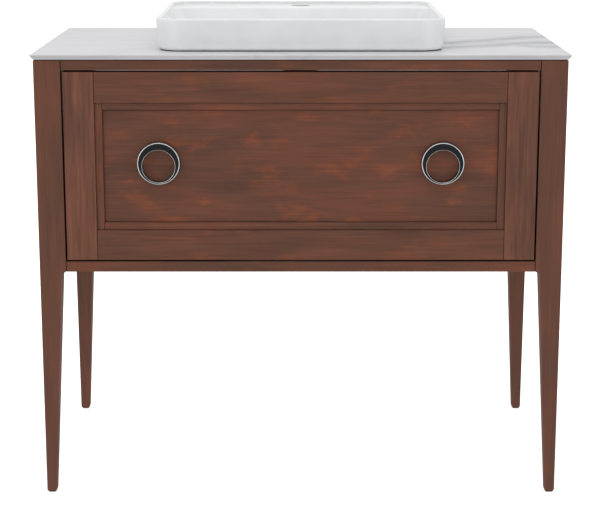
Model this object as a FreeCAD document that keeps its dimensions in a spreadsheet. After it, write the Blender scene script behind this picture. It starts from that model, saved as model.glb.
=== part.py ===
import FreeCAD, Part
import os
import re
import Sketcher
from FreeCAD import Placement, Rotation, Vector

# Driving sizes in millimetres: X runs along the width, the front looks to -Y, Z is up from the floor.
SIZES = {
    # case
    "case_width": 900, "case_depth": 460, "apron_height": 367.5, "face_setback": 1.5,
    "leg_height": 771.5, "leg_block": 45, "leg_neck": 37, "leg_foot": 17,
    "foot_bevel": 3, "foot_bevel_height": 5, "shoulder_height": 4,
    "rail_height": 18, "rail_depth": 40, "side_rail_width": 24,
    "tenon_length": 18, "tenon_shoulder": 4, "fit_gap": 0.1,
    "joint_line": 0.9, "joint_line_depth": 2, "counter_line": 1.4,
    "panel_thickness": 7, "panel_recess": 8, "panel_groove": 8, "panel_float": 0.5,
    "floor_thickness": 9, "floor_groove": 6, "floor_lift": 5, "floor_opening_depth": 225,
    "wall_rail_height": 40, "wall_rail_thickness": 18, "wall_hole_spacing": 600, "wall_hole": 7,
    "batten_height": 60, "batten_thickness": 18,
    "bracket_leg": 20, "bracket_sheet": 2, "bracket_width": 25, "bracket_spacing": 180,
    "bracket_screw_length": 7,
    # counter
    "counter_thickness": 8.5, "counter_overhang": 5, "counter_bevel_height": 7, "counter_arris": 0.8,
    "cutout_margin": 12, "cutout_corner": 40,
    # basin
    "basin_width": 500, "basin_height": 56, "basin_front_margin": 39, "basin_back_margin": 31,
    "basin_corner": 45, "basin_draft": 4, "basin_wall": 10, "basin_edge_round": 3.5,
    "basin_foot_round": 6,
    "ledge_depth": 122, "ledge_drop": 5, "ledge_thickness": 14, "tap_hole": 35, "tap_setback": 60,
    "bowl_depth": 76, "bowl_inset": 35, "bowl_corner": 20, "bowl_floor_round": 22,
    "gasket_height": 1.2, "gasket_inset": 4, "gasket_width": 6,
    # waste
    "waste_hole": 44, "waste_thread": 41.9, "waste_bore": 34, "waste_length": 100,
    "waste_tail_length": 55, "waste_relief_width": 3, "waste_relief_depth": 0.8,
    "waste_flange": 66, "waste_flange_height": 3, "waste_bridge": 10, "waste_bridge_drop": 24,
    "washer_width": 60, "washer_height": 5, "nut_width": 65, "nut_height": 13,
    "plug_width": 58, "plug_height": 5, "plug_stem": 8, "plug_stem_length": 44, "plug_gap": 0.4,
    # drawer front
    "drawer_gap": 3.2, "front_thickness": 25, "frame_width": 52, "bead_width": 13, "bead_recess": 3,
    "bead_bevel": 1.2,
    "pull_width": 73, "pull_depth": 14.5, "pull_hole": 56, "pull_hole_drop": 4.5,
    "pull_round": 2.2, "pull_hole_round": 0.8,
    "pull_inset": 95, "pull_rise": 6.5, "pull_screw": 2.5, "pull_screw_head": 5, "pull_screw_depth": 8,
    # drawer box
    "box_wall": 12, "box_height": 210, "box_lift": 11, "box_rear_gap": 47,
    "bottom_thickness": 6, "bottom_lift": 10, "bottom_groove": 5,
    "notch_width": 200, "notch_lead": 70,
    # runners and screws
    "runner_length": 350, "runner_width": 12.7, "runner_height": 46, "runner_sheet": 1.2,
    "runner_gap": 0.4, "runner_lip": 1.6, "runner_lift": 84, "runner_setback": 6,
    "runner_hole_margin": 50,
    "screw_shank": 3.5, "screw_head": 7, "case_screw_length": 14, "box_screw_length": 9,
    "front_screw_length": 24, "front_screw_head_height": 2.5, "front_screw_margin": 40,
}

doc = FreeCAD.newDocument("vanity_unit")
sheet = doc.addObject("Spreadsheet::Sheet", "size")
for row, (alias, size) in enumerate(SIZES.items(), start=1):
    sheet.set(f"A{row}", alias)
    sheet.set(f"B{row}", str(size))
    sheet.setAlias(f"B{row}", alias)
doc.recompute()

# Planes that several pieces share, written in the sheet's aliases.
SIDE = "(case_width / 2)"
LEG_IN = "(case_width / 2 - leg_block)"
FRONT = "((counter_overhang - case_depth) / 2)"
BACK = "((counter_overhang + case_depth) / 2)"
FACE = f"({FRONT} + face_setback)"
REAR_FACE = f"({BACK} - face_setback)"
SIDE_FACE = f"({SIDE} - face_setback)"
LEG_FRONT_BACK = f"({FRONT} + leg_block)"
LEG_REAR_FRONT = f"({BACK} - leg_block)"
APRON = "(leg_height - apron_height)"
OPENING_LOW = f"({APRON} + rail_height)"
OPENING_HIGH = "(leg_height - rail_height)"
COUNTER_TOP = "(leg_height + counter_thickness)"
SIDE_PANEL_OUT = f"({SIDE_FACE} - panel_recess)"
SIDE_PANEL_IN = f"({SIDE_PANEL_OUT} - panel_thickness)"

BASIN_BACK = f"({BACK} - basin_back_margin)"
BASIN_FRONT = f"({FRONT} + basin_front_margin)"
BASIN_BASE = f"({COUNTER_TOP} + gasket_height)"
RIM = f"({COUNTER_TOP} + basin_height)"
LEDGE = f"({RIM} - ledge_drop)"
BOWL_FRONT = f"({BASIN_FRONT} + basin_wall)"
BOWL_BACK = f"({BASIN_BACK} - ledge_depth)"
BOWL_FLOOR = f"({LEDGE} - bowl_depth)"
BOWL_UNDER = f"({BOWL_FLOOR} - basin_wall)"
WASTE_Y = f"(({BOWL_FRONT} + {BOWL_BACK}) / 2)"
TAP_Y = f"({BASIN_BACK} - tap_setback)"

DRAWER_HALF = f"({LEG_IN} - drawer_gap)"
DRAWER_LOW = f"({OPENING_LOW} + drawer_gap)"
DRAWER_HIGH = f"({OPENING_HIGH} - drawer_gap)"
FRAME_IN = f"({DRAWER_HALF} - frame_width)"
FRAME_LOW = f"({DRAWER_LOW} + frame_width)"
FRAME_HIGH = f"({DRAWER_HIGH} - frame_width)"
PANEL_FACE = f"({FACE} + panel_recess)"
PANEL_BACK = f"({PANEL_FACE} + panel_thickness)"
FRONT_REAR = f"({FACE} + front_thickness)"
BOX_OUT = f"({LEG_IN} - runner_width)"
BOX_IN = f"({BOX_OUT} - box_wall)"
BOX_LOW = f"({DRAWER_LOW} + box_lift)"
BOX_HIGH = f"({BOX_LOW} + box_height)"
BOX_BACK = f"({REAR_FACE} - box_rear_gap)"
INNER_FRONT_REAR = f"({FRONT_REAR} + box_wall)"
BOTTOM_LOW = f"({BOX_LOW} + bottom_lift)"
BOTTOM_HIGH = f"({BOTTOM_LOW} + bottom_thickness)"
NOTCH_FRONT = f"({WASTE_Y} - notch_lead)"
RUNNER_MID = f"({BOX_LOW} + runner_lift)"
RUNNER_FRONT = f"({FRONT_REAR} + runner_setback)"
RUNNER_BACK = f"({RUNNER_FRONT} + runner_length)"
RUNNER_HOLES = (
    f"({LEG_FRONT_BACK} + runner_hole_margin / 2)",
    f"(({LEG_FRONT_BACK} + {RUNNER_BACK} - runner_hole_margin / 2) / 2)",
    f"({RUNNER_BACK} - runner_hole_margin)",
)
PULL_X = f"({FRAME_IN} - bead_width - pull_inset)"
PULL_Z = f"(({DRAWER_LOW} + {DRAWER_HIGH}) / 2 + pull_rise)"
PULL_PITCH = "((pull_width + pull_hole) / 4)"
COUNTER_LINE_Z = ("leg_height - counter_line", "leg_height")

SIDES = ((-1, "left"), (1, "right"))
pieces = []


def cells(text):
    """The text with each alias written as a cell of the sheet."""
    return re.sub(r"\b[a-z_]+\b", lambda word: f"size.{word[0]}" if word[0] in SIZES else word[0], text)


def number(text):
    return float(sheet.evalExpression(cells(text)))


def bind(item, path, text):
    item.setExpression(path, cells(text))


def move(item, x, y, z):
    for axis, text in zip("xyz", (x, y, z)):
        bind(item, f"Placement.Base.{axis}", text)


def across(side, near, far):
    """Low and high X of a piece between two distances from the middle, on the left or the right."""
    return (near, far) if side > 0 else (f"-({far})", f"-({near})")


def both_sides(half):
    return f"-({half})", half


def new_body(label):
    body = doc.addObject("PartDesign::Body", label)
    body.Label = label
    pieces.append(body)
    return body


def block(body, kind, x, y, z):
    """Adds or cuts a block between low and high limits along each axis."""
    feature = body.newObject(f"PartDesign::{kind}Box", f"{body.Name}_{kind}_box")
    for path, (low, high) in zip(("Length", "Width", "Height"), (x, y, z)):
        bind(feature, path, f"({high}) - ({low})")
    move(feature, x[0], y[0], z[0])
    return feature


def rod(body, kind, start, direction, width, length):
    """Adds or cuts a round bar from its start along a direction."""
    feature = body.newObject(f"PartDesign::{kind}Cylinder", f"{body.Name}_{kind}_rod")
    feature.Placement = Placement(Vector(), Rotation(Vector(0, 0, 1), Vector(*direction)))
    bind(feature, "Radius", f"({width}) / 2")
    bind(feature, "Height", length)
    move(feature, *start)
    return feature


def board(label, x, y, z):
    body = new_body(label)
    block(body, "Additive", x, y, z)
    return body


def new_sketch(body, name, plane, lift):
    sketch = body.newObject("Sketcher::SketchObject", f"{body.Name}_{name}")
    origin = next(item for item in body.Origin.OriginFeatures if item.Role == plane)
    sketch.AttachmentSupport = (origin, [""])
    sketch.MapMode = "FlatFace"
    bind(sketch, "AttachmentOffset.Base.z", lift)
    return sketch


def measure(sketch, kind, place, text):
    index = sketch.addConstraint(Sketcher.Constraint(kind, *place, number(text)))
    sketch.setExpression(f"Constraints[{index}]", cells(text))


def polygon(body, name, plane, points, lift="0"):
    """A closed outline whose corners are all held by sizes of the sheet."""
    sketch = new_sketch(body, name, plane, lift)
    corners = [Vector(number(x), number(y), 0) for x, y in points]
    count = len(corners)
    for index in range(count):
        sketch.addGeometry(Part.LineSegment(corners[index], corners[(index + 1) % count]))
    for index in range(count):
        sketch.addConstraint(Sketcher.Constraint("Coincident", index, 2, (index + 1) % count, 1))
    for index, (x, y) in enumerate(points):
        measure(sketch, "DistanceX", (-1, 1, index, 1), x)
        measure(sketch, "DistanceY", (-1, 1, index, 1), y)
    return sketch


def rounded(body, name, x, y, front_round, back_round, lift):
    """A level rectangle with round corners, one radius at the front and one at the back."""
    sketch = new_sketch(body, name, "XY_Plane", lift)
    low_x, high_x = (number(text) for text in x)
    low_y, high_y = (number(text) for text in y)
    rounds = [front_round, front_round, back_round, back_round]
    corners = [(low_x, low_y, 180), (high_x, low_y, 270), (high_x, high_y, 0), (low_x, high_y, 90)]
    ends = []
    for text, (corner_x, corner_y, start) in zip(rounds, corners):
        radius = number(text)
        centre_x = corner_x + radius if corner_x == low_x else corner_x - radius
        centre_y = corner_y + radius if corner_y == low_y else corner_y - radius
        circle = Part.Circle(Vector(centre_x, centre_y, 0), Vector(0, 0, 1), radius)
        arc = Part.ArcOfCircle(circle, FreeCAD.Units.Quantity(start, "deg").getValueAs("rad").Value,
                               FreeCAD.Units.Quantity(start + 90, "deg").getValueAs("rad").Value)
        sketch.addGeometry(arc)
        ends.append((arc.StartPoint, arc.EndPoint))
    for index in range(4):
        sketch.addGeometry(Part.LineSegment(ends[index][1], ends[(index + 1) % 4][0]))
    for index in range(4):
        sketch.addConstraint(Sketcher.Constraint("Tangent", index, 2, 4 + index, 1))
        sketch.addConstraint(Sketcher.Constraint("Tangent", 4 + index, 2, (index + 1) % 4, 1))
    for line, kind in ((4, "Horizontal"), (5, "Vertical"), (6, "Horizontal"), (7, "Vertical")):
        sketch.addConstraint(Sketcher.Constraint(kind, line))
    for index, text in enumerate(rounds):
        measure(sketch, "Radius", (index,), text)
    measure(sketch, "DistanceY", (-1, 1, 4, 1), y[0])
    measure(sketch, "DistanceX", (-1, 1, 5, 1), x[1])
    measure(sketch, "DistanceY", (-1, 1, 6, 1), y[1])
    measure(sketch, "DistanceX", (-1, 1, 7, 1), x[0])
    return sketch


def loft(body, kind, sketches):
    feature = body.newObject(f"PartDesign::{kind}Loft", f"{body.Name}_{kind}_loft")
    feature.Profile = sketches[0]
    feature.Sections = sketches[1:]
    feature.Ruled = True
    return feature


def pad(body, sketch, length):
    feature = body.newObject("PartDesign::Pad", f"{body.Name}_pad")
    feature.Profile = sketch
    bind(feature, "Length", length)
    return feature


def pocket(body, sketch, length, upward):
    feature = body.newObject("PartDesign::Pocket", f"{body.Name}_pocket")
    feature.Profile = sketch
    feature.Reversed = upward
    bind(feature, "Length", length)
    return feature


def turn(body, points):
    """A piece turned about Z from an outline of radius and height."""
    sketch = polygon(body, "outline", "XZ_Plane", points)
    feature = body.newObject("PartDesign::Revolution", f"{body.Name}_turning")
    feature.Profile = sketch
    feature.ReferenceAxis = (sketch, ["V_Axis"])
    return feature


def dress(body, kind, path, text, choose):
    """Rounds or bevels the edges of the body that the choice picks out."""
    doc.recompute()
    base = body.Tip
    names = [f"Edge{index}" for index, edge in enumerate(base.Shape.Edges, start=1) if choose(edge)]
    feature = body.newObject(f"PartDesign::{kind}", f"{body.Name}_{kind.lower()}")
    feature.Base = (base, names)
    bind(feature, path, text)
    return feature


def at_height(text):
    """A choice of the edges that lie level at one height."""
    level = number(text)
    return lambda edge: max(abs(edge.BoundBox.ZMin - level), abs(edge.BoundBox.ZMax - level)) < 0.01


def loose_rod(start, direction, width, length):
    bar = doc.addObject("Part::Cylinder", "rod")
    bar.Placement = Placement(Vector(), Rotation(Vector(0, 0, 1), Vector(*direction)))
    bind(bar, "Radius", f"({width}) / 2")
    bind(bar, "Height", length)
    move(bar, *start)
    return bar


def screw(seat, direction, head, head_height, shank, length):
    """A screw whose head rises from its seat against the direction of the shank."""
    joined = doc.addObject("Part::Fuse", "screw")
    backward = [-step for step in direction]
    joined.Base = loose_rod(seat, backward, head, head_height)
    joined.Tool = loose_rod(seat, direction, shank, length)
    return joined


def group(label, members):
    compound = doc.addObject("Part::Compound", label)
    compound.Label = label
    compound.Links = members
    pieces.append(compound)


def shrink(span, text):
    return f"({span[0]}) + ({text})", f"({span[1]}) - ({text})"


def grow(span, text):
    return f"({span[0]}) - ({text})", f"({span[1]}) + ({text})"


# Rails between the legs: their Y and Z limits, and whether they stand at the back.
RAILS = {
    "front_top_rail": ((FACE, f"{FACE} + rail_depth"), (OPENING_HIGH, "leg_height"), False),
    "front_bottom_rail": ((FACE, f"{FACE} + rail_depth"), (APRON, OPENING_LOW), False),
    "rear_top_rail": ((f"{REAR_FACE} - rail_depth", REAR_FACE), (OPENING_HIGH, "leg_height"), True),
    "rear_bottom_rail": ((f"{REAR_FACE} - rail_depth", REAR_FACE), (APRON, OPENING_LOW), True),
    "wall_fixing_rail": (
        (f"{REAR_FACE} - wall_rail_thickness", REAR_FACE),
        (f"{OPENING_HIGH} - wall_rail_height", OPENING_HIGH),
        True,
    ),
}
SIDE_GROOVE = grow((SIDE_PANEL_IN, SIDE_PANEL_OUT), "fit_gap")
FLOOR_LOW = f"({APRON} + floor_lift)"
FLOOR_Z = (FLOOR_LOW, f"{FLOOR_LOW} + floor_thickness")
FLOOR_SLOT = grow(FLOOR_Z, "fit_gap")


def leg(label, side, rear):
    body = new_body(label)
    outer = f"{side} * {SIDE}"
    face, inward = (BACK, -1) if rear else (FRONT, 1)

    def section(name, width, lift, bevel="0"):
        inner_x = f"{outer} - {side} * ({width})"
        inner_y = f"{face} + {inward} * ({width})"
        near_x = f"{outer} - {side} * ({bevel})"
        near_y = f"{face} + {inward} * ({bevel})"
        far_x = f"{inner_x} + {side} * ({bevel})"
        far_y = f"{inner_y} - {inward} * ({bevel})"
        points = [(near_x, near_y), (far_x, near_y), (far_x, far_y), (near_x, far_y)]
        return polygon(body, name, "XY_Plane", points, lift)

    taper = f"(leg_neck - leg_foot) / ({APRON} - shoulder_height)"
    above_bevel = f"leg_foot + {taper} * foot_bevel_height"
    loft(body, "Additive", [
        section("foot", "leg_foot", "0", "foot_bevel"),
        section("ankle", above_bevel, "foot_bevel_height"),
        section("neck", "leg_neck", f"{APRON} - shoulder_height"),
        section("shoulder", "leg_block", APRON),
    ])
    x = across(side, LEG_IN, SIDE)
    y = (LEG_REAR_FRONT, BACK) if rear else (FRONT, LEG_FRONT_BACK)
    block(body, "Additive", x, y, (APRON, "leg_height"))
    mortise_x = across(side, LEG_IN, f"{LEG_IN} + tenon_length + fit_gap")
    for rail_y, rail_z, at_back in RAILS.values():
        if at_back == rear:
            cut_y = shrink(rail_y, "tenon_shoulder - fit_gap")
            block(body, "Subtractive", mortise_x, cut_y, shrink(rail_z, "tenon_shoulder - fit_gap"))
    groove_x = across(side, *SIDE_GROOVE)
    groove_y = (LEG_REAR_FRONT, f"{LEG_REAR_FRONT} + panel_groove")
    if not rear:
        groove_y = (f"{LEG_FRONT_BACK} - panel_groove", LEG_FRONT_BACK)
        block(body, "Subtractive", x, (FRONT, f"{FRONT} + joint_line_depth"), COUNTER_LINE_Z)
    block(body, "Subtractive", groove_x, groove_y, (APRON, "leg_height"))
    block(body, "Subtractive", across(side, f"{SIDE} - joint_line_depth", SIDE), y, COUNTER_LINE_Z)


for side, word in SIDES:
    leg(f"leg_front_{word}", side, False)
    leg(f"leg_rear_{word}", side, True)


def joint_lines(body, half, z):
    """A fine groove down each end of a rail's face, where its shoulder meets the upright."""
    for side, word in SIDES:
        x = across(side, f"{half} - joint_line", half)
        block(body, "Subtractive", x, (FACE, f"{FACE} + joint_line_depth"), z)


for label, (rail_y, rail_z, at_back) in RAILS.items():
    body = board(label, both_sides(LEG_IN), rail_y, rail_z)
    tenon_x = both_sides(f"{LEG_IN} + tenon_length")
    block(body, "Additive", tenon_x, shrink(rail_y, "tenon_shoulder"), shrink(rail_z, "tenon_shoulder"))
    if not at_back:
        joint_lines(body, LEG_IN, rail_z)
    if label == "front_top_rail":
        block(body, "Subtractive", both_sides(LEG_IN), (FACE, f"{FACE} + joint_line_depth"), COUNTER_LINE_Z)
    if label == "front_bottom_rail":
        edge = f"{FACE} + rail_depth"
        block(body, "Subtractive", both_sides(LEG_IN), (f"{edge} - floor_groove", edge), FLOOR_SLOT)
    if label == "rear_bottom_rail":
        edge = f"{REAR_FACE} - rail_depth"
        block(body, "Subtractive", both_sides(LEG_IN), (edge, f"{edge} + floor_groove"), FLOOR_SLOT)
    if label == "wall_fixing_rail":
        for side, word in SIDES:
            start = (f"{side} * wall_hole_spacing / 2", rail_y[0], f"({rail_z[0]} + {rail_z[1]}) / 2")
            rod(body, "Subtractive", start, (0, 1, 0), "wall_hole", "wall_rail_thickness")

# Sides: a flat panel held in grooves of two rails and two legs.
SIDE_SPAN = (LEG_FRONT_BACK, LEG_REAR_FRONT)
SIDE_TONGUE = grow(SIDE_SPAN, "panel_groove - fit_gap")
SIDE_RAIL_IN = f"({SIDE_FACE} - side_rail_width)"
for side, word in SIDES:
    rail_x = across(side, SIDE_RAIL_IN, SIDE_FACE)
    tongue_x = across(side, SIDE_PANEL_IN, SIDE_PANEL_OUT)
    groove_x = across(side, *SIDE_GROOVE)
    for place, rail_z in (("top", (OPENING_HIGH, "leg_height")), ("bottom", (APRON, OPENING_LOW))):
        body = board(f"side_{place}_rail_{word}", rail_x, SIDE_SPAN, rail_z)
        block(body, "Additive", tongue_x, SIDE_TONGUE, rail_z)
        groove_z = (OPENING_HIGH, f"{OPENING_HIGH} + panel_groove")
        if place == "bottom":
            groove_z = (f"{OPENING_LOW} - panel_groove", OPENING_LOW)
            floor_x = across(side, SIDE_RAIL_IN, f"{SIDE_RAIL_IN} + floor_groove")
            block(body, "Subtractive", floor_x, SIDE_SPAN, FLOOR_SLOT)
        block(body, "Subtractive", groove_x, SIDE_TONGUE, groove_z)
        line_x = across(side, f"{SIDE_FACE} - joint_line_depth", SIDE_FACE)
        block(body, "Subtractive", line_x, (LEG_FRONT_BACK, f"{LEG_FRONT_BACK} + joint_line"), rail_z)
        block(body, "Subtractive", line_x, (f"{LEG_REAR_FRONT} - joint_line", LEG_REAR_FRONT), rail_z)
        if place == "top":
            block(body, "Subtractive", line_x, SIDE_SPAN, COUNTER_LINE_Z)
    panel_z = grow((OPENING_LOW, OPENING_HIGH), "panel_groove - panel_float")
    board(f"side_panel_{word}", tongue_x, grow(SIDE_SPAN, "panel_groove - panel_float"), panel_z)

    batten_x = across(side, LEG_IN, f"{LEG_IN} + batten_thickness")
    batten_z = (f"{RUNNER_MID} - batten_height / 2", f"{RUNNER_MID} + batten_height / 2")
    batten = board(f"runner_batten_{word}", batten_x, SIDE_SPAN, batten_z)
    for hole_y in RUNNER_HOLES:
        start = (f"{side} * {LEG_IN}", hole_y, RUNNER_MID)
        rod(batten, "Subtractive", start, (side, 0, 0), "screw_shank + 2 * fit_gap", "case_screw_length")

floor_half = f"{SIDE_RAIL_IN} + floor_groove - panel_float"
floor_y = (
    f"{FACE} + rail_depth - floor_groove + panel_float",
    f"{REAR_FACE} - rail_depth + floor_groove - panel_float",
)
floor = board("case_floor", both_sides(floor_half), floor_y, FLOOR_Z)
for side, word in SIDES:
    corner_x = across(side, f"{LEG_IN} - panel_float", floor_half)
    block(floor, "Subtractive", corner_x, (floor_y[0], f"{LEG_FRONT_BACK} + panel_float"), FLOOR_Z)
    block(floor, "Subtractive", corner_x, (f"{LEG_REAR_FRONT} - panel_float", floor_y[1]), FLOOR_Z)
floor_opening = (NOTCH_FRONT, f"{NOTCH_FRONT} + floor_opening_depth")
block(floor, "Subtractive", both_sides("notch_width / 2"), floor_opening, FLOOR_Z)

# Angles under the counter, screwed to the side rails.
brackets = []
bracket_screws = []
for side, word in SIDES:
    for end in (-1, 1):
        middle = f"({LEG_FRONT_BACK} + {LEG_REAR_FRONT}) / 2 + {end} * bracket_spacing / 2"
        y = (f"{middle} - bracket_width / 2", f"{middle} + bracket_width / 2")
        upright = across(side, f"{SIDE_RAIL_IN} - bracket_sheet", SIDE_RAIL_IN)
        level = across(side, f"{SIDE_RAIL_IN} - bracket_leg", SIDE_RAIL_IN)
        plates = []
        for x, thickness in ((upright, "rail_height"), (level, "bracket_sheet")):
            z = (f"leg_height - {thickness}", "leg_height")
            plate = doc.addObject("Part::Box", "plate")
            for path, (low, high) in zip(("Length", "Width", "Height"), (x, y, z)):
                bind(plate, path, f"({high}) - ({low})")
            move(plate, x[0], y[0], z[0])
            plates.append(plate)
        angle = doc.addObject("Part::Fuse", "angle")
        angle.Base, angle.Tool = plates
        hole_z = "leg_height - rail_height / 2"
        hole = loose_rod((f"{side} * ({SIDE_RAIL_IN} - bracket_sheet)", middle, hole_z), (side, 0, 0),
                         "screw_shank + 2 * fit_gap", "bracket_sheet")
        drilled = doc.addObject("Part::Cut", "bracket")
        drilled.Base = angle
        drilled.Tool = hole
        brackets.append(drilled)
        seat = (f"{side} * ({SIDE_RAIL_IN} - bracket_sheet)", middle, hole_z)
        bracket_screws.append(screw(seat, (side, 0, 0), "screw_head", "bracket_sheet", "screw_shank",
                                    "bracket_sheet + bracket_screw_length - panel_float"))
        rail = doc.getObject(f"side_top_rail_{word}")
        rod(rail, "Subtractive", (f"{side} * {SIDE_RAIL_IN}", middle, hole_z), (side, 0, 0),
            "screw_shank + 2 * fit_gap", "bracket_screw_length")
group("counter_brackets", brackets)
group("bracket_screws", bracket_screws)

# Counter: a thin slab whose edge is bevelled back underneath, flush with the legs at the back.
slab = new_body("countertop")


def slab_outline(name, overhang, lift):
    half = f"{SIDE} + {overhang}"
    edge = f"{FRONT} - ({overhang})"
    points = [(f"-({half})", edge), (half, edge), (half, BACK), (f"-({half})", BACK)]
    return polygon(slab, name, "XY_Plane", points, lift)


bevel_top = "leg_height + counter_bevel_height"
loft(slab, "Additive", [
    slab_outline("underside", "0", "leg_height"),
    slab_outline("bevel", "counter_overhang", bevel_top),
])
slab_y = (f"{FRONT} - counter_overhang", BACK)
block(slab, "Additive", both_sides(f"{SIDE} + counter_overhang"), slab_y, (bevel_top, COUNTER_TOP))
dress(slab, "Fillet", "Radius", "counter_arris", at_height(COUNTER_TOP))
cutout_inset = "basin_draft + cutout_margin"
cutout_x = both_sides(f"basin_width / 2 - ({cutout_inset})")
cutout_y = shrink((BASIN_FRONT, BASIN_BACK), cutout_inset)
cutout = rounded(slab, "cutout", cutout_x, cutout_y, "cutout_corner", "cutout_corner", COUNTER_TOP)
pocket(slab, cutout, "counter_thickness", False)

# Basin: a drafted skirt, hollow underneath, with a sunk ledge and a bowl.
basin = new_body("basin")


def basin_outline(name, inset, lift):
    corner = f"basin_corner - ({inset})"
    half = both_sides(f"basin_width / 2 - ({inset})")
    return rounded(basin, name, half, shrink((BASIN_FRONT, BASIN_BACK), inset), corner, corner, lift)


def bowl_outline(name, drop, spread):
    """The bowl's outline at one depth below the ledge, grown by the wall for its outside."""
    inset = f"bowl_inset * ({drop}) / bowl_depth - ({spread})"
    half = both_sides(f"basin_width / 2 - basin_wall - ({inset})")
    front_round = f"basin_corner - basin_wall + ({spread})"
    back_round = f"bowl_corner + ({spread})"
    return rounded(basin, name, half, shrink((BOWL_FRONT, BOWL_BACK), inset), front_round, back_round,
                   f"{LEDGE} - ({drop})")


skirt = [basin_outline("base", "basin_draft", BASIN_BASE), basin_outline("rim", "0", RIM)]
loft(basin, "Additive", skirt)
hollow = basin_outline("hollow", "basin_draft + basin_wall", BASIN_BASE)
pocket(basin, hollow, f"{LEDGE} - ledge_thickness - {BASIN_BASE}", True)
loft(basin, "Additive", [
    bowl_outline("outer_top", "ledge_thickness / 2", "basin_wall"),
    bowl_outline("outer_floor", "bowl_depth + basin_wall", "basin_wall"),
])
pocket(basin, basin_outline("sunk", "basin_wall", RIM), "ledge_drop", False)
loft(basin, "Subtractive", [bowl_outline("mouth", "0", "0"), bowl_outline("floor", "bowl_depth", "0")])
dress(basin, "Fillet", "Radius", "bowl_floor_round", at_height(BOWL_FLOOR))
dress(basin, "Fillet", "Radius", "basin_edge_round", at_height(RIM))


def foot_edge(edge):
    """An edge of the skirt's outer outline, where it stands on the gasket."""
    outside = number("basin_width / 2 - basin_draft - basin_wall")
    front, back = (number(text) for text in shrink((BASIN_FRONT, BASIN_BACK), "basin_draft + basin_wall"))
    box = edge.BoundBox
    beyond = max(-box.XMin, box.XMax) > outside + 0.01 or box.YMin < front - 0.01 or box.YMax > back + 0.01
    return beyond and at_height(BASIN_BASE)(edge)


dress(basin, "Fillet", "Radius", "basin_foot_round", foot_edge)
rod(basin, "Subtractive", ("0", WASTE_Y, BOWL_UNDER), (0, 0, 1), "waste_hole", "basin_wall")
ledge_under = f"{LEDGE} - ledge_thickness"
rod(basin, "Subtractive", ("0", TAP_Y, ledge_under), (0, 0, 1), "tap_hole", "ledge_thickness")

gasket = new_body("basin_gasket")


def gasket_outline(name, inset, lift):
    inset = f"basin_draft + gasket_inset + ({inset})"
    corner = f"basin_corner - ({inset})"
    half = both_sides(f"basin_width / 2 - ({inset})")
    return rounded(gasket, name, half, shrink((BASIN_FRONT, BASIN_BACK), inset), corner, corner, lift)


pad(gasket, gasket_outline("outer", "0", COUNTER_TOP), "gasket_height")
pocket(gasket, gasket_outline("inner", "gasket_width", COUNTER_TOP), "gasket_height", True)

# Waste: threaded body with a flange in the bowl, washer and nut below, and a plug that lifts on a stem.
waste = new_body("waste_body")
flange_top = f"{BOWL_FLOOR} + waste_flange_height"
waste_end = f"{flange_top} - waste_length"
relief_low = f"{waste_end} + waste_tail_length"
turn(waste, [
    ("waste_bore / 2", waste_end),
    ("waste_thread / 2", waste_end),
    ("waste_thread / 2", relief_low),
    ("waste_thread / 2 - waste_relief_depth", relief_low),
    ("waste_thread / 2 - waste_relief_depth", f"{relief_low} + waste_relief_width"),
    ("waste_thread / 2", f"{relief_low} + waste_relief_width"),
    ("waste_thread / 2", BOWL_FLOOR),
    ("waste_flange / 2", BOWL_FLOOR),
    ("waste_flange / 2", f"{flange_top} - waste_flange_height / 2"),
    ("waste_flange / 2 - waste_flange_height / 2", flange_top),
    ("waste_bore / 2", flange_top),
])
bridge_top = f"{flange_top} - waste_bridge_drop"
bridge_half = both_sides("(waste_bore + waste_thread) / 4")
bridge_z = (f"{bridge_top} - waste_bridge", bridge_top)
block(waste, "Additive", bridge_half, both_sides("waste_bridge / 2"), bridge_z)
rod(waste, "Subtractive", ("0", "0", f"{bridge_top} - waste_bridge"), (0, 0, 1), "plug_stem + 2 * plug_gap",
    "waste_bridge")

washer = new_body("waste_washer")
washer_inner = "waste_thread / 2 + fit_gap"
turn(washer, [
    (washer_inner, f"{BOWL_UNDER} - washer_height"),
    ("washer_width / 2", f"{BOWL_UNDER} - washer_height"),
    ("washer_width / 2", BOWL_UNDER),
    (washer_inner, BOWL_UNDER),
])

nut = new_body("waste_nut")
nut_top = f"({BOWL_UNDER} - washer_height)"
turn(nut, [
    (washer_inner, f"{nut_top} - nut_height"),
    ("nut_width / 2 - nut_height / 3", f"{nut_top} - nut_height"),
    ("nut_width / 2", f"{nut_top} - nut_height * 2 / 3"),
    ("nut_width / 2", nut_top),
    (washer_inner, nut_top),
])

plug = new_body("waste_plug")
plug_low = f"({flange_top} + plug_gap)"
turn(plug, [
    ("0", f"{plug_low} - plug_stem_length"),
    ("plug_stem / 2", f"{plug_low} - plug_stem_length"),
    ("plug_stem / 2", plug_low),
    ("plug_width / 2", plug_low),
    ("plug_width / 2", f"{plug_low} + plug_height / 2"),
    ("plug_width / 2 - plug_height / 2", f"{plug_low} + plug_height"),
    ("0", f"{plug_low} + plug_height"),
])
for part in (waste, washer, nut, plug):
    move(part, "0", WASTE_Y, "0")

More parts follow.
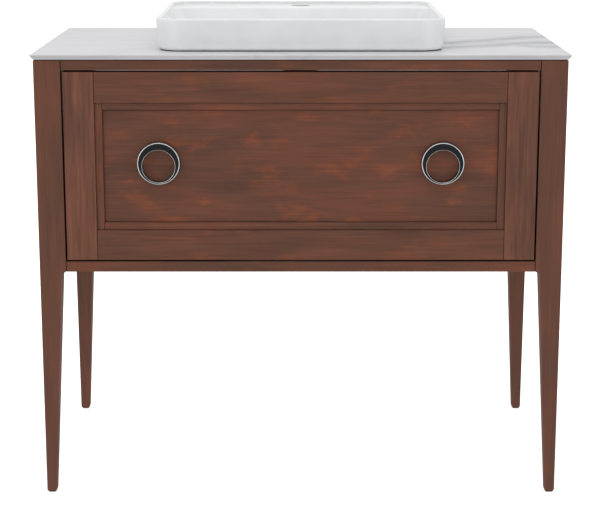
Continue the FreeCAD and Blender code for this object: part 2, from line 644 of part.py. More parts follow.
# Drawer front: stiles and rails grooved for a loose panel, with stepped beads in front of it.
FRAME_Y = (FACE, FRONT_REAR)
PANEL_Y = (PANEL_FACE, PANEL_BACK)
SLOT_Y = grow(PANEL_Y, "fit_gap")
FRONT_SCREW_Z = (f"{BOX_LOW} + front_screw_margin", f"{BOX_HIGH} - front_screw_margin")
FRONT_SCREW_X = f"({DRAWER_HALF} - frame_width / 2 - box_wall)"
screw_bite = "front_screw_length - box_wall"
for side, word in SIDES:
    stile_z = (DRAWER_LOW, DRAWER_HIGH)
    stile = board(f"drawer_stile_{word}", across(side, FRAME_IN, DRAWER_HALF), FRAME_Y, stile_z)
    block(stile, "Subtractive", across(side, FRAME_IN, f"{FRAME_IN} + panel_groove"), SLOT_Y, stile_z)
    for z in FRONT_SCREW_Z:
        rod(stile, "Subtractive", (f"{side} * {FRONT_SCREW_X}", FRONT_REAR, z), (0, -1, 0),
            "screw_shank + 2 * fit_gap", screw_bite)

rail_spans = {
    "top": ((FRAME_HIGH, DRAWER_HIGH), (FRAME_HIGH, f"{FRAME_HIGH} + panel_groove")),
    "bottom": ((DRAWER_LOW, FRAME_LOW), (f"{FRAME_LOW} - panel_groove", FRAME_LOW)),
}
for place, (rail_z, groove_z) in rail_spans.items():
    rail = board(f"drawer_rail_{place}", both_sides(FRAME_IN), FRAME_Y, rail_z)
    tongue_x = both_sides(f"{FRAME_IN} + panel_groove - fit_gap")
    block(rail, "Additive", tongue_x, PANEL_Y, rail_z)
    block(rail, "Subtractive", tongue_x, SLOT_Y, groove_z)
    joint_lines(rail, FRAME_IN, rail_z)

panel_reach = "panel_groove - panel_float"
panel = board("drawer_panel", both_sides(f"{FRAME_IN} + {panel_reach}"), PANEL_Y,
              grow((FRAME_LOW, FRAME_HIGH), panel_reach))

bead_y = (f"{FACE} + bead_recess", PANEL_FACE)


def inner_front_edge(axis, text):
    """The front edge of a bead that lies along the opening, at one place across it."""
    place = number(text)
    front = number(bead_y[0])

    def choose(edge):
        box = edge.BoundBox
        low, high = (box.XMin, box.XMax) if axis == "x" else (box.ZMin, box.ZMax)
        return abs(low - place) < 0.01 and abs(high - place) < 0.01 and abs(box.YMax - front) < 0.01

    return choose


for side, word in SIDES:
    bead_inner = f"({FRAME_IN} - bead_width)"
    bead = board(f"bead_{word}", across(side, bead_inner, FRAME_IN), bead_y, (FRAME_LOW, FRAME_HIGH))
    dress(bead, "Chamfer", "Size", "bead_bevel", inner_front_edge("x", f"{side} * {bead_inner}"))
bead_x = both_sides(f"{FRAME_IN} - bead_width")
for place, low, high, inner in (
    ("top", f"{FRAME_HIGH} - bead_width", FRAME_HIGH, f"{FRAME_HIGH} - bead_width"),
    ("bottom", FRAME_LOW, f"{FRAME_LOW} + bead_width", f"{FRAME_LOW} + bead_width"),
):
    bead = board(f"bead_{place}", bead_x, bead_y, (low, high))
    dress(bead, "Chamfer", "Size", "bead_bevel", inner_front_edge("z", inner))



def pull_edge(width):
    """A choice of the circle of one width on the front of a pull."""
    front = number("-pull_depth")
    radius = number(width) / 2

    def choose(edge):
        box = edge.BoundBox
        on_front = max(abs(box.YMin - front), abs(box.YMax - front)) < 0.01
        return on_front and abs(edge.Curve.Radius - radius) < 0.01

    return choose


# Ring pulls: short hoops that stand on the panel, each held by two screws from behind. The hole lies
# below the middle, so that a hoop is broad at the top and narrow at the bottom.
pull_screws = []
for side, word in SIDES:
    ring = new_body(f"ring_pull_{word}")
    rod(ring, "Additive", ("0", "0", "0"), (0, -1, 0), "pull_width", "pull_depth")
    rod(ring, "Subtractive", ("0", "0", "-pull_hole_drop"), (0, -1, 0), "pull_hole", "pull_depth")
    dress(ring, "Fillet", "Radius", "pull_round", pull_edge("pull_width"))
    dress(ring, "Fillet", "Radius", "pull_hole_round", pull_edge("pull_hole"))
    centre_x = f"{side} * {PULL_X}"
    move(ring, centre_x, PANEL_FACE, PULL_Z)
    for end in (-1, 1):
        rod(ring, "Subtractive", (f"{end} * {PULL_PITCH}", "0", "0"), (0, -1, 0),
            "pull_screw + 2 * fit_gap", "pull_screw_depth")
        hole_x = f"{centre_x} + {end} * {PULL_PITCH}"
        rod(panel, "Subtractive", (hole_x, PANEL_BACK, PULL_Z), (0, -1, 0), "pull_screw + 2 * fit_gap",
            "panel_thickness")
        pull_screws.append(screw((hole_x, PANEL_BACK, PULL_Z), (0, -1, 0), "pull_screw_head", "pull_screw",
                                 "pull_screw", "panel_thickness + pull_screw_depth - panel_float"))
group("pull_screws", pull_screws)

# Drawer box: grooved for its bottom, with a notch open to the back for the waste and the trap.
BOX_Z = (BOX_LOW, BOX_HIGH)
BOTTOM_SLOT = grow((BOTTOM_LOW, BOTTOM_HIGH), "fit_gap")
STANDING_Z = (BOTTOM_HIGH, BOX_HIGH)
NOTCH_IN = "(notch_width / 2)"
NOTCH_OUT = "(notch_width / 2 + box_wall)"
inner_front = board("drawer_inner_front", both_sides(BOX_IN), (FRONT_REAR, INNER_FRONT_REAR), BOX_Z)
block(inner_front, "Subtractive", both_sides(BOX_IN),
      (f"{INNER_FRONT_REAR} - bottom_groove", INNER_FRONT_REAR), BOTTOM_SLOT)
front_screws = []
for side, word in SIDES:
    box_side = board(f"drawer_side_{word}", across(side, BOX_IN, BOX_OUT), (FRONT_REAR, BOX_BACK), BOX_Z)
    block(box_side, "Subtractive", across(side, BOX_IN, f"{BOX_IN} + bottom_groove"),
          (f"{INNER_FRONT_REAR} - bottom_groove", BOX_BACK), BOTTOM_SLOT)
    for hole_y in RUNNER_HOLES:
        rod(box_side, "Subtractive", (f"{side} * {BOX_OUT}", hole_y, RUNNER_MID), (-side, 0, 0),
            "screw_shank + 2 * fit_gap", "box_screw_length")
    back_y = (f"{BOX_BACK} - box_wall", BOX_BACK)
    board(f"drawer_back_{word}", across(side, NOTCH_OUT, BOX_IN), back_y, STANDING_Z)
    board(f"notch_side_{word}", across(side, NOTCH_IN, NOTCH_OUT), (NOTCH_FRONT, BOX_BACK), STANDING_Z)
    for z in FRONT_SCREW_Z:
        place = (f"{side} * {FRONT_SCREW_X}", INNER_FRONT_REAR, z)
        rod(inner_front, "Subtractive", place, (0, -1, 0), "screw_shank + 2 * fit_gap", "box_wall")
        front_screws.append(screw(place, (0, -1, 0), "screw_head", "front_screw_head_height", "screw_shank",
                                  "front_screw_length - panel_float"))
board("notch_front", both_sides(NOTCH_OUT), (f"{NOTCH_FRONT} - box_wall", NOTCH_FRONT), STANDING_Z)
group("front_fixing_screws", front_screws)
bottom = board("drawer_bottom", both_sides(f"{BOX_IN} + bottom_groove - panel_float"),
               (f"{INNER_FRONT_REAR} - bottom_groove + panel_float", BOX_BACK), (BOTTOM_LOW, BOTTOM_HIGH))
block(bottom, "Subtractive", both_sides(NOTCH_IN), (NOTCH_FRONT, BOX_BACK), (BOTTOM_LOW, BOTTOM_HIGH))

# Telescopic runners: three channels, one inside the other, with a running gap between them.
STEP = "(runner_sheet + runner_gap)"
CASE_HALF = "(runner_height / 2)"
MIDDLE_HALF = f"({CASE_HALF} - {STEP})"
DRAWER_MEMBER_HALF = f"({MIDDLE_HALF} - {STEP})"
CASE_MOUTH = f"({BOX_OUT} + {STEP})"
MIDDLE_WEB = f"({LEG_IN} - {STEP})"
DRAWER_TIP = f"({MIDDLE_WEB} - {STEP})"


def channel(label, side, points):
    """A runner member: half an outline above its middle line, mirrored below, drawn out along Y."""
    body = new_body(label)
    upper = [(f"{side} * ({x})", f"{RUNNER_MID} + ({z})") for x, z in points]
    lower = [(f"{side} * ({x})", f"{RUNNER_MID} - ({z})") for x, z in reversed(points)]
    outline = polygon(body, "outline", "XZ_Plane", upper + lower, f"-({RUNNER_BACK})")
    pad(body, outline, "runner_length")
    return body


case_screws = []
drawer_screws = []
head_hole = "screw_head + 2 * fit_gap"
for side, word in SIDES:
    case_member = channel(f"runner_case_{word}", side, [
        (f"{LEG_IN} - runner_sheet", f"{CASE_HALF} - runner_sheet"),
        (f"{CASE_MOUTH} + runner_sheet", f"{CASE_HALF} - runner_sheet"),
        (f"{CASE_MOUTH} + runner_sheet", f"{CASE_HALF} - runner_sheet - runner_lip"),
        (CASE_MOUTH, f"{CASE_HALF} - runner_sheet - runner_lip"),
        (CASE_MOUTH, CASE_HALF),
        (LEG_IN, CASE_HALF),
    ])
    channel(f"runner_middle_{word}", side, [
        (f"{MIDDLE_WEB} - runner_sheet", f"{MIDDLE_HALF} - runner_sheet"),
        (f"{CASE_MOUTH} + {STEP}", f"{MIDDLE_HALF} - runner_sheet"),
        (f"{CASE_MOUTH} + {STEP}", MIDDLE_HALF),
        (MIDDLE_WEB, MIDDLE_HALF),
    ])
    drawer_member = channel(f"runner_drawer_{word}", side, [
        (f"{BOX_OUT} + runner_sheet", f"{DRAWER_MEMBER_HALF} - runner_sheet"),
        (DRAWER_TIP, f"{DRAWER_MEMBER_HALF} - runner_sheet"),
        (DRAWER_TIP, DRAWER_MEMBER_HALF),
        (BOX_OUT, DRAWER_MEMBER_HALF),
    ])
    for hole_y in RUNNER_HOLES:
        case_seat = (f"{side} * {LEG_IN}", hole_y, RUNNER_MID)
        rod(case_member, "Subtractive", case_seat, (-side, 0, 0), head_hole, "runner_sheet")
        case_screws.append(screw(case_seat, (side, 0, 0), "screw_head", "runner_sheet", "screw_shank",
                                 "case_screw_length - panel_float"))
        drawer_seat = (f"{side} * {BOX_OUT}", hole_y, RUNNER_MID)
        rod(drawer_member, "Subtractive", drawer_seat, (side, 0, 0), head_hole, "runner_sheet")
        drawer_screws.append(screw(drawer_seat, (-side, 0, 0), "screw_head", "runner_sheet", "screw_shank",
                                   "box_screw_length - panel_float"))
group("runner_case_screws", case_screws)
group("runner_drawer_screws", drawer_screws)

doc.recompute()
for item in doc.Objects:
    if {"Invalid", "Error"} & set(item.State):
        raise RuntimeError(f"{item.Label} did not build: {item.State}")
os.makedirs("parts", exist_ok=True)
for piece in pieces:
    shape = piece.Shape
    if shape.isNull() or not shape.isValid():
        raise RuntimeError(f"{piece.Label} has no valid shape")
    shape.exportStep(f"parts/{piece.Label}.step")
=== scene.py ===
import math
from functools import cache

import bpy
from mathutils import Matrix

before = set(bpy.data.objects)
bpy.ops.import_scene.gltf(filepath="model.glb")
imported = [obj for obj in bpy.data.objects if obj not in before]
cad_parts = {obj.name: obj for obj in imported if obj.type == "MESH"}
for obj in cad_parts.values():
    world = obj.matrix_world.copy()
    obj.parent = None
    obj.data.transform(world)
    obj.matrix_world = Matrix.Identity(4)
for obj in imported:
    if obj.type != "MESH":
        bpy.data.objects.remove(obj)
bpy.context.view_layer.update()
MM = 0.001


def linear(colour):
    """A colour written as sRGB hex, in the linear values that a shader takes."""
    channels = [int(colour[start:start + 2], 16) / 255 for start in (1, 3, 5)]
    return [value / 12.92 if value <= 0.04045 else ((value + 0.055) / 1.055) ** 2.4
            for value in channels] + [1]


def add(tree, kind, feeds, stops=(), **settings):
    """Adds a node with its settings, the colour stops of its ramp, and its inputs.

    Each input is a plain value or the output of another node."""
    node = tree.nodes.new(kind)
    for name, value in settings.items():
        setattr(node, name, value)
    for name, value in feeds.items():
        if isinstance(value, bpy.types.NodeSocket):
            tree.links.new(value, node.inputs[name])
        else:
            node.inputs[name].default_value = value
    for place, (position, colour) in enumerate(stops):
        elements = node.color_ramp.elements
        stop = elements[place] if place < len(elements) else elements.new(position)
        stop.position = position
        stop.color = linear(colour)
    return node


def new_finish(name):
    """A new material, with its node tree and its main shader."""
    finish = bpy.data.materials.new(name)
    finish.use_nodes = True
    shader = finish.node_tree.nodes["Principled BSDF"]
    return finish, finish.node_tree, shader


# The way the fibres run in a board: along the width, from front to back, or up.
ALONG = {"across": (1, 0, 0), "deep": (0, 1, 0), "upright": (0, 0, 1)}
# How far apart in the timber, in metres, two boards may start.
TIMBER = (3.7, 5.3, 4.1)


def board_space(tree, way, width_mm, length_mm):
    """Coordinates in which one unit is a feature's width across the fibres and its length along.

    Every board starts at its own place in the timber, so that no two boards repeat each other."""
    place = add(tree, "ShaderNodeTexCoord", {})
    board = add(tree, "ShaderNodeObjectInfo", {})
    start = add(tree, "ShaderNodeVectorMath", {0: board.outputs["Random"], 1: TIMBER},
                operation="MULTIPLY")
    spot = add(tree, "ShaderNodeVectorMath",
               {0: place.outputs["Object"], 1: start.outputs["Vector"]}, operation="ADD")
    size = [1 / (MM * (length_mm if step else width_mm)) for step in ALONG[way]]
    scaled = add(tree, "ShaderNodeVectorMath", {0: spot.outputs["Vector"], 1: size},
                 operation="MULTIPLY")
    return scaled.outputs["Vector"]


# How each kind of board takes the stain: its dark, middle and light tones; its russet blooms,
# with their colour, width and length in mm and how much of their colour shows; and how dark and
# how light its streaks go.
STAIN = {
    "frame": (("#5e4034", "#694435", "#724636"), ("#7e4933", 24, 58, 0.7), (0.90, 1.08)),
    "leg": (("#634335", "#694436", "#704737"), ("#784834", 18, 90, 0.5), (0.94, 1.05)),
    "stile": (("#674538", "#71493a", "#7c4e3e"), ("#87523c", 14, 90, 0.7), (0.83, 1.14)),
    "panel": (("#5e4035", "#694436", "#724636"), ("#884b33", 32, 58, 0.88), (0.90, 1.07)),
}
# The figure that all boards share, in mm across the fibres and along them. Real fibres are far
# finer: they are drawn this coarse so that they show.
DRIFT_MM = (55, 210)
STREAK_MM = (7, 120)
FIBRE_MM = (2.4, 85)
FIBRE_DEPTH_MM = 0.06
# How far the fibres fray the edge of a bloom.
FRAY = 0.2
# How far out of a corner the colour is darkened as painted shade and the lacquer dull.
CORNER_MM = 4


@cache
def stained_hardwood(board, way):
    """Close-grained hardwood, stained red-brown and sprayed with satin lacquer.

    The stain goes in unevenly: cooler brown drifts along the board, russet blooms where the wood
    drank more, short dark streaks of figure and hair-fine fibres. Corners and joints are darkened
    as painted shade, and their lacquer is dull."""
    (dark, middle, light), blooms, (streak_dark, streak_light) = STAIN[board]
    bloom_colour, bloom_width, bloom_length, bloom_share = blooms
    finish, tree, shader = new_finish(f"stained_hardwood_{board}_{way}")

    drift = add(tree, "ShaderNodeTexNoise", {
        "Vector": board_space(tree, way, *DRIFT_MM), "Scale": 1, "Detail": 2,
        "Roughness": 0.5, "Distortion": 0.3})
    ground = add(tree, "ShaderNodeValToRGB", {"Fac": drift.outputs["Fac"]},
                 stops=[(0.32, dark), (0.68, light), (0.50, middle)])
    fibre = add(tree, "ShaderNodeTexNoise", {
        "Vector": board_space(tree, way, *FIBRE_MM), "Scale": 1, "Detail": 3, "Roughness": 0.65})

    bloom = add(tree, "ShaderNodeTexNoise", {
        "Vector": board_space(tree, way, bloom_width, bloom_length), "Scale": 1, "Detail": 4,
        "Roughness": 0.56, "Distortion": 0.2})
    frayed = add(tree, "ShaderNodeMath", {
        0: fibre.outputs["Fac"], 1: FRAY, 2: bloom.outputs["Fac"]}, operation="MULTIPLY_ADD")
    bloom_edge = add(tree, "ShaderNodeMapRange", {
        "Value": frayed.outputs["Value"], "From Min": 0.61, "From Max": 0.86,
        "To Max": bloom_share}, interpolation_type="SMOOTHSTEP")
    russet = add(tree, "ShaderNodeMix", {
        "Factor": bloom_edge.outputs["Result"], "A": ground.outputs["Color"],
        "B": linear(bloom_colour)}, data_type="RGBA")

    streak = add(tree, "ShaderNodeTexNoise", {
        "Vector": board_space(tree, way, *STREAK_MM), "Scale": 1, "Detail": 3,
        "Roughness": 0.55, "Distortion": 0.5})
    streak_tone = add(tree, "ShaderNodeMapRange", {
        "Value": streak.outputs["Fac"], "From Min": 0.35, "From Max": 0.65,
        "To Min": streak_dark, "To Max": streak_light})
    fibre_tone = add(tree, "ShaderNodeMapRange", {
        "Value": fibre.outputs["Fac"], "From Min": 0.3, "From Max": 0.7,
        "To Min": 0.89, "To Max": 1.09})
    # Painted shade: the colour is darkened wherever ambient occlusion finds a corner or joint
    # close by.
    corner = add(tree, "ShaderNodeAmbientOcclusion", {"Distance": CORNER_MM * MM}, samples=8)
    painted_corner_shade = add(tree, "ShaderNodeMapRange", {
        "Value": corner.outputs["AO"], "From Min": 0.35, "From Max": 0.9,
        "To Min": 0.35, "To Max": 1})
    figure = add(tree, "ShaderNodeMath", {
        0: streak_tone.outputs["Result"], 1: fibre_tone.outputs["Result"]}, operation="MULTIPLY")
    shade = add(tree, "ShaderNodeMath", {
        0: figure.outputs["Value"], 1: painted_corner_shade.outputs["Result"]}, operation="MULTIPLY")
    colour = add(tree, "ShaderNodeVectorMath", {
        0: russet.outputs["Result"], 1: shade.outputs["Value"]}, operation="MULTIPLY")

    sheen = add(tree, "ShaderNodeMapRange", {
        "Value": drift.outputs["Fac"], "To Min": 0.40, "To Max": 0.52})
    dull = add(tree, "ShaderNodeMapRange", {
        "Value": corner.outputs["AO"], "From Min": 0.4, "From Max": 0.85,
        "To Min": 1, "To Max": 0.4})
    lacquer = add(tree, "ShaderNodeMath", {
        0: sheen.outputs["Result"], 1: dull.outputs["Result"]}, operation="MAXIMUM")
    relief = add(tree, "ShaderNodeBump", {
        "Height": fibre.outputs["Fac"], "Strength": 0.25, "Distance": FIBRE_DEPTH_MM * MM})

    tree.links.new(colour.outputs["Vector"], shader.inputs["Base Color"])
    tree.links.new(lacquer.outputs["Value"], shader.inputs["Roughness"])
    tree.links.new(relief.outputs["Normal"], shader.inputs["Normal"])
    shader.inputs["IOR"].default_value = 1.45
    shader.inputs["Specular IOR Level"].default_value = 0.3
    return finish


# The figure of the birch in mm, across the fibres and along them. The fibres are drawn far
# coarser than real ones, so that they show.
BIRCH_FIGURE_MM = (26, 240)
BIRCH_FIBRE_MM = (1.6, 60)
BIRCH_FIBRE_DEPTH_MM = 0.05


@cache
def birch(way):
    """Planed birch under clear lacquer: pale cream with a soft honey figure and faint fibres."""
    finish, tree, shader = new_finish(f"birch_{way}")
    figure = add(tree, "ShaderNodeTexNoise", {
        "Vector": board_space(tree, way, *BIRCH_FIGURE_MM), "Scale": 1, "Detail": 3,
        "Distortion": 0.6})
    ground = add(tree, "ShaderNodeValToRGB", {"Fac": figure.outputs["Fac"]},
                 stops=[(0.32, "#c9ab80"), (0.68, "#dcc49d")])
    fibre = add(tree, "ShaderNodeTexNoise", {
        "Vector": board_space(tree, way, *BIRCH_FIBRE_MM), "Scale": 1, "Detail": 2})
    fibre_tone = add(tree, "ShaderNodeMapRange", {
        "Value": fibre.outputs["Fac"], "From Min": 0.3, "From Max": 0.7,
        "To Min": 0.92, "To Max": 1.05})
    colour = add(tree, "ShaderNodeVectorMath", {
        0: ground.outputs["Color"], 1: fibre_tone.outputs["Result"]}, operation="MULTIPLY")
    relief = add(tree, "ShaderNodeBump", {
        "Height": fibre.outputs["Fac"], "Strength": 0.2, "Distance": BIRCH_FIBRE_DEPTH_MM * MM})
    tree.links.new(colour.outputs["Vector"], shader.inputs["Base Color"])
    tree.links.new(relief.outputs["Normal"], shader.inputs["Normal"])
    shader.inputs["Roughness"].default_value = 0.5
    shader.inputs["IOR"].default_value = 1.45
    return finish


# Main veins of the counter in plan, in mm: where each starts, where it ends, and its strength.
VEINS = (
    ((235, -48), (465, 66), 1.0),
    ((235, -124), (430, -42), 1.0),
    ((345, -44), (425, -106), 0.8),
)
# A vein's fine line and the haze round it: how far each reaches to either side in mm, and how
# grey it is.
LINE_AND_HAZE = ((20, 0.64), (62, 0.42))
# A vein fades in between these two distances from its start.
FADE_IN_MM = (-35, 25)
# How far the veins swerve to either side, and how long a swerve is.
SWERVE_MM = 28
SWERVE_WAVE_MM = 55
# The faint net in the stone: how long and wide its meshes are in mm, how far it is turned in plan,
# and how thick and how grey its lines are.
NET_MM = (300, 95)
NET_TURN = math.radians(-27)
NET_LINE = (0.05, 0.10)


@cache
def honed_marble():
    """White marble, sawn thin and honed to a soft shine.

    It is cool white with a few long grey veins right of the basin. Each vein is a fine line in a
    soft grey haze, over a loose net of far fainter ones."""
    finish, tree, shader = new_finish("honed_marble")
    place = add(tree, "ShaderNodeTexCoord", {})
    plan = add(tree, "ShaderNodeSeparateXYZ", {"Vector": place.outputs["Object"]})

    net_length, net_width = NET_MM
    net_thick, net_grey = NET_LINE
    turned = add(tree, "ShaderNodeMapping", {
        "Vector": place.outputs["Object"], "Rotation": (0, 0, NET_TURN),
        "Scale": (1 / (net_length * MM), 1 / (net_width * MM), 1 / (net_width * MM))})
    seam = add(tree, "ShaderNodeTexNoise", {
        "Vector": turned.outputs["Vector"], "Scale": 1, "Detail": 4, "Roughness": 0.5,
        "Distortion": 0.6})
    middle = add(tree, "ShaderNodeMath", {0: seam.outputs["Fac"], 1: 0.5}, operation="SUBTRACT")
    away = add(tree, "ShaderNodeMath", {0: middle.outputs["Value"]}, operation="ABSOLUTE")
    net = add(tree, "ShaderNodeMapRange", {
        "Value": away.outputs["Value"], "From Max": net_thick, "To Min": net_grey, "To Max": 0},
        interpolation_type="SMOOTHSTEP")
    grey = net.outputs["Result"]

    wander = add(tree, "ShaderNodeTexNoise", {
        "Vector": place.outputs["Object"], "Scale": 1 / (SWERVE_WAVE_MM * MM), "Detail": 3,
        "Roughness": 0.55})
    swerve = add(tree, "ShaderNodeMapRange", {
        "Value": wander.outputs["Fac"], "To Min": -SWERVE_MM * MM, "To Max": SWERVE_MM * MM})
    swerved = add(tree, "ShaderNodeMath", {
        0: plan.outputs["Y"], 1: swerve.outputs["Result"]}, operation="ADD")
    for (start_x, start_y), (end_x, end_y), strength in VEINS:
        course = add(tree, "ShaderNodeMapRange", {
            "Value": plan.outputs["X"], "From Min": start_x * MM, "From Max": end_x * MM,
            "To Min": start_y * MM, "To Max": end_y * MM}, interpolation_type="SMOOTHSTEP")
        gap = add(tree, "ShaderNodeMath", {
            0: swerved.outputs["Value"], 1: course.outputs["Result"]}, operation="SUBTRACT")
        off = add(tree, "ShaderNodeMath", {0: gap.outputs["Value"]}, operation="ABSOLUTE")
        fade_from, fade_to = FADE_IN_MM
        begun = add(tree, "ShaderNodeMapRange", {
            "Value": plan.outputs["X"], "From Min": (start_x + fade_from) * MM,
            "From Max": (start_x + fade_to) * MM, "To Max": 1})
        for reach, share in LINE_AND_HAZE:
            band = add(tree, "ShaderNodeMapRange", {
                "Value": off.outputs["Value"], "From Max": reach * MM,
                "To Min": share * strength, "To Max": 0}, interpolation_type="SMOOTHSTEP")
            kept = add(tree, "ShaderNodeMath", {
                0: band.outputs["Result"], 1: begun.outputs["Result"]}, operation="MULTIPLY")
            darker = add(tree, "ShaderNodeMath", {0: grey, 1: kept.outputs["Value"]},
                         operation="MAXIMUM")
            grey = darker.outputs["Value"]

    stone = add(tree, "ShaderNodeValToRGB", {"Fac": grey}, stops=[(0, "#d1d1d3"), (1, "#78797e")])
    tree.links.new(stone.outputs["Color"], shader.inputs["Base Color"])
    shader.inputs["Roughness"].default_value = 0.35
    shader.inputs["IOR"].default_value = 1.49
    shader.inputs["Specular IOR Level"].default_value = 0.2
    return finish


# The soft waves that the glaze is drawn into: how long they are, and how deep.
GLAZE_WAVE_MM = 45
GLAZE_DEPTH_MM = 0.3


@cache
def glazed_fireclay():
    """Fireclay dipped in white glaze and fired: a glassy skin, a little uneven over the clay."""
    finish, tree, shader = new_finish("glazed_fireclay")
    place = add(tree, "ShaderNodeTexCoord", {})
    wave = add(tree, "ShaderNodeTexNoise", {
        "Vector": place.outputs["Object"], "Scale": 1 / (GLAZE_WAVE_MM * MM), "Detail": 1})
    colour = add(tree, "ShaderNodeValToRGB", {"Fac": wave.outputs["Fac"]},
                 stops=[(0.3, "#e2e3e4"), (0.7, "#e7e8e9")])
    relief = add(tree, "ShaderNodeBump", {
        "Height": wave.outputs["Fac"], "Strength": 0.15, "Distance": GLAZE_DEPTH_MM * MM})
    tree.links.new(colour.outputs["Color"], shader.inputs["Base Color"])
    tree.links.new(relief.outputs["Normal"], shader.inputs["Normal"])
    shader.inputs["Roughness"].default_value = 0.10
    shader.inputs["IOR"].default_value = 1.52
    return finish


# How wide a wiping mark on the chrome is.
WIPE_MM = 9


@cache
def chrome_plate():
    """Chrome over polished brass: a dark cool mirror with faint wiping marks."""
    finish, tree, shader = new_finish("chrome_plate")
    place = add(tree, "ShaderNodeTexCoord", {})
    wipe = add(tree, "ShaderNodeTexNoise", {
        "Vector": place.outputs["Object"], "Scale": 1 / (WIPE_MM * MM), "Detail": 3})
    tone = add(tree, "ShaderNodeValToRGB", {"Fac": wipe.outputs["Fac"]},
               stops=[(0.3, "#c9ced0"), (0.7, "#d3d7d8")])
    haze = add(tree, "ShaderNodeMapRange", {
        "Value": wipe.outputs["Fac"], "To Min": 0.05, "To Max": 0.13})
    tree.links.new(tone.outputs["Color"], shader.inputs["Base Color"])
    tree.links.new(haze.outputs["Result"], shader.inputs["Roughness"])
    shader.inputs["Metallic"].default_value = 1
    return finish


# The lines left by the rolling mill, in mm across and along. They are drawn far coarser than real
# ones, so that they show.
ROLLED_MM = (1.5, 60)


@cache
def zinc_plate():
    """Rolled steel with bright zinc plating: cold grey, softly brushed along its length."""
    finish, tree, shader = new_finish("zinc_plate")
    rolled = add(tree, "ShaderNodeTexNoise", {
        "Vector": board_space(tree, "deep", *ROLLED_MM), "Scale": 1, "Detail": 2})
    tone = add(tree, "ShaderNodeValToRGB", {"Fac": rolled.outputs["Fac"]},
               stops=[(0.3, "#a9adb0"), (0.7, "#c2c5c7")])
    haze = add(tree, "ShaderNodeMapRange", {
        "Value": rolled.outputs["Fac"], "To Min": 0.26, "To Max": 0.42})
    tree.links.new(tone.outputs["Color"], shader.inputs["Base Color"])
    tree.links.new(haze.outputs["Result"], shader.inputs["Roughness"])
    shader.inputs["Metallic"].default_value = 1
    return finish


# How wide a patch of the rubber's bloom is. The real powder is far finer: it is drawn this coarse
# so that it shows.
RUBBER_BLOOM_MM = 3


@cache
def black_rubber():
    """Moulded sealing rubber: matt charcoal with a fine bloom."""
    finish, tree, shader = new_finish("black_rubber")
    place = add(tree, "ShaderNodeTexCoord", {})
    powder = add(tree, "ShaderNodeTexNoise", {
        "Vector": place.outputs["Object"], "Scale": 1 / (RUBBER_BLOOM_MM * MM), "Detail": 2})
    tone = add(tree, "ShaderNodeValToRGB", {"Fac": powder.outputs["Fac"]},
               stops=[(0.3, "#1d1e1f"), (0.7, "#2a2b2c")])
    tree.links.new(tone.outputs["Color"], shader.inputs["Base Color"])
    shader.inputs["Roughness"].default_value = 0.7
    return finish


# The finishes of the pieces that aren't wood, by their slot in the record.
FINISHES = {
    "marble": honed_marble,
    "basin_glaze": glazed_fireclay,
    "polished_metal": chrome_plate,
    "plated_steel": zinc_plate,
    "rubber": black_rubber,
}
# Boards whose fibres run up, and from front to back. Those of all other boards run across.
UPRIGHT = ("leg_", "drawer_stile_", "bead_left", "bead_right", "side_panel_")
DEEP = ("side_top_rail_", "side_bottom_rail_", "drawer_side_", "notch_side_", "runner_batten_")
# Stained boards that take the stain in their own way. All others are stained as the frame is.
BOARDS = {"leg": "leg_", "stile": "drawer_stile_", "panel": "drawer_panel"}
# Sanded arrises: the sharp edges of every board but the panel are taken off by this width.
ARRIS_MM = 0.45
SHARP = math.radians(40)
# Corners of a mesh this close are one corner.
SAME_CORNER_MM = 0.01

for name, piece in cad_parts.items():
    slot = piece.material_slots[0].material.name.split(".")[0]
    way = "upright" if name.startswith(UPRIGHT) else "deep" if name.startswith(DEEP) else "across"
    if slot == "stained_wood":
        board = next((kind for kind, start in BOARDS.items() if name.startswith(start)), "frame")
        finish = stained_hardwood(board, way)
    elif slot == "pale_wood":
        finish = birch(way)
    else:
        finish = FINISHES[slot]()
    piece.material_slots[0].material = finish
    if slot in ("stained_wood", "pale_wood") and name != "drawer_panel":
        weld = piece.modifiers.new("closed_corners", "WELD")
        weld.merge_threshold = SAME_CORNER_MM * MM
        arris = piece.modifiers.new("sanded_arris", "BEVEL")
        arris.width = ARRIS_MM * MM
        arris.segments = 2
        arris.limit_method = "ANGLE"
        arris.angle_limit = SHARP
        arris.harden_normals = True

# Studio: a pale floor that runs far to every side. It throws no light back on the unit and isn't
# mirrored in it, because the glow from below stands for both.
FLOOR_WIDTH = 60
bpy.ops.mesh.primitive_plane_add(size=FLOOR_WIDTH)
floor = bpy.context.object
floor.name = "studio_floor"
paint, _, paint_shader = new_finish("pale_floor_paint")
paint_shader.inputs["Base Color"].default_value = linear("#f4f4f4")
paint_shader.inputs["Roughness"].default_value = 0.9
paint_shader.inputs["Specular IOR Level"].default_value = 0
paint_shader.inputs["Emission Color"].default_value = linear("#ffffff")
paint_shader.inputs["Emission Strength"].default_value = 0.55
floor.data.materials.append(paint)
floor.visible_diffuse = False
floor.visible_glossy = False

# The studio's white glow, whose strength changes with the direction that it comes from.
scene = bpy.context.scene
world = bpy.data.worlds.new("studio")
scene.world = world
world.use_nodes = True
sky = world.node_tree
heading = add(sky, "ShaderNodeTexCoord", {})
towards = add(sky, "ShaderNodeSeparateXYZ", {"Vector": heading.outputs["Generated"]})
FLOOR_BEHIND = (0, 0.87, -0.5)
near_behind = add(sky, "ShaderNodeVectorMath", {0: heading.outputs["Generated"], 1: FLOOR_BEHIND},
                  operation="DOT_PRODUCT")
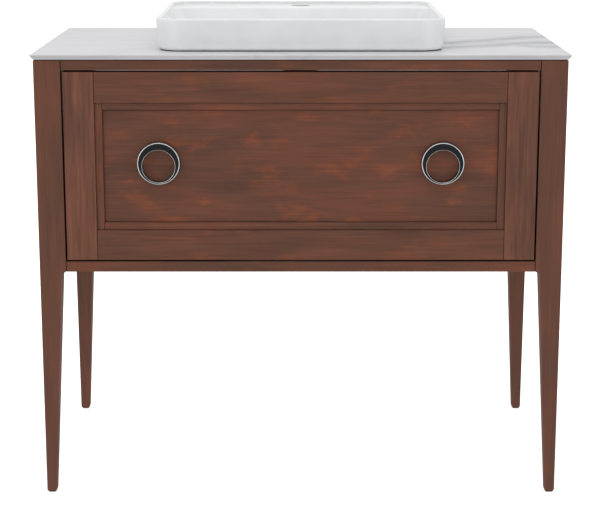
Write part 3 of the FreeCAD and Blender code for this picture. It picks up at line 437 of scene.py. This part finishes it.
# Each line: what is measured, the two values between which the strength changes, and from how
# strong to how strong it changes.
GLOW = (
    # A little stronger from low down than from above, as over a pale floor.
    (towards.outputs["Z"], (-0.35, 0.35), (1.1, 0.86)),
    # Weaker from straight below, so that the lower edges of the rings and the counter are dim.
    (towards.outputs["Z"], (-0.85, -0.55), (0.38, 1)),
    # Dark straight in front, where the flat faces of the rings look.
    (towards.outputs["Y"], (-0.955, -0.86), (0.03, 1)),
    # Dark from the floor behind, so that the inner faces of the legs don't glare.
    (near_behind.outputs["Value"], (0.87, 0.95), (1, 0.05)),
)
glow = 1
for measured, (low, high), (strength_low, strength_high) in GLOW:
    strength = add(sky, "ShaderNodeMapRange", {
        "Value": measured, "From Min": low, "From Max": high,
        "To Min": strength_low, "To Max": strength_high}, interpolation_type="SMOOTHSTEP")
    together = add(sky, "ShaderNodeMath", {0: glow, 1: strength.outputs["Result"]},
                   operation="MULTIPLY")
    glow = together.outputs["Value"]
# The camera itself sees a plain white backdrop on every side.
ray = add(sky, "ShaderNodeLightPath", {})
backdrop = add(sky, "ShaderNodeMath", {0: glow, 1: ray.outputs["Is Camera Ray"]},
               operation="MAXIMUM")
back = sky.nodes["Background"]
back.inputs["Color"].default_value = linear("#ffffff")
sky.links.new(backdrop.outputs["Value"], back.inputs["Strength"])

# Soft rectangular lamps, out of the camera's sight: where each stands, the point that it faces,
# its width and height in metres, its power in watts, and whether it is mirrored in the unit. The
# fills aren't, so that the faces of the rings stay dark.
LAMPS = {
    "overhead_softbox": ((0, -0.6, 3.4), (0, 0, 0.5), (3.2, 2.0), 14, True),
    "left_softbox": ((-3.0, -2.2, 1.5), (0, 0, 0.5), (1.2, 2.4), 9, True),
    "right_softbox": ((3.0, -2.2, 1.5), (0, 0, 0.5), (1.2, 2.4), 9, True),
    "front_fill": ((0, -4.0, 1.4), (0, 0, 0.6), (1.6, 1.2), 16, False),
    "back_fill": ((0, 4.0, 1.4), (0, 0, 0.6), (1.6, 1.2), 24, False),
}
for name, (place, aim, (width, height), power, mirrored) in LAMPS.items():
    lamp = bpy.data.lights.new(name, "AREA")
    lamp.shape = "RECTANGLE"
    lamp.size = width
    lamp.size_y = height
    lamp.energy = power
    holder = bpy.data.objects.new(name, lamp)
    scene.collection.objects.link(holder)
    holder.location = place
    holder.visible_camera = False
    holder.visible_glossy = mirrored
    right, ahead, up = [end - start for start, end in zip(place, aim)]
    holder.rotation_euler = (math.atan2(math.hypot(right, ahead), -up), 0,
                             math.atan2(-right, ahead))

scene.view_settings.view_transform = "Standard"

# Camera: a standing eye in front of the unit, looking a little down with a long lens. The shift
# is a share of the picture's width.
EYE = (0, -2.856, 1.084)
LOOK_DOWN = math.radians(11.61)
FOCAL_LENGTH_MM = 94.3
SENSOR_MM = 36
SHIFT_X = -0.0012
SHIFT_Y = -0.1
lens = bpy.data.cameras.new("front_camera")
lens.sensor_width = SENSOR_MM
lens.lens = FOCAL_LENGTH_MM
lens.shift_x = SHIFT_X
lens.shift_y = SHIFT_Y
camera = bpy.data.objects.new("front_camera", lens)
scene.collection.objects.link(camera)
camera.location = EYE
camera.rotation_euler = (math.pi / 2 - LOOK_DOWN, 0, 0)
scene.camera = camera
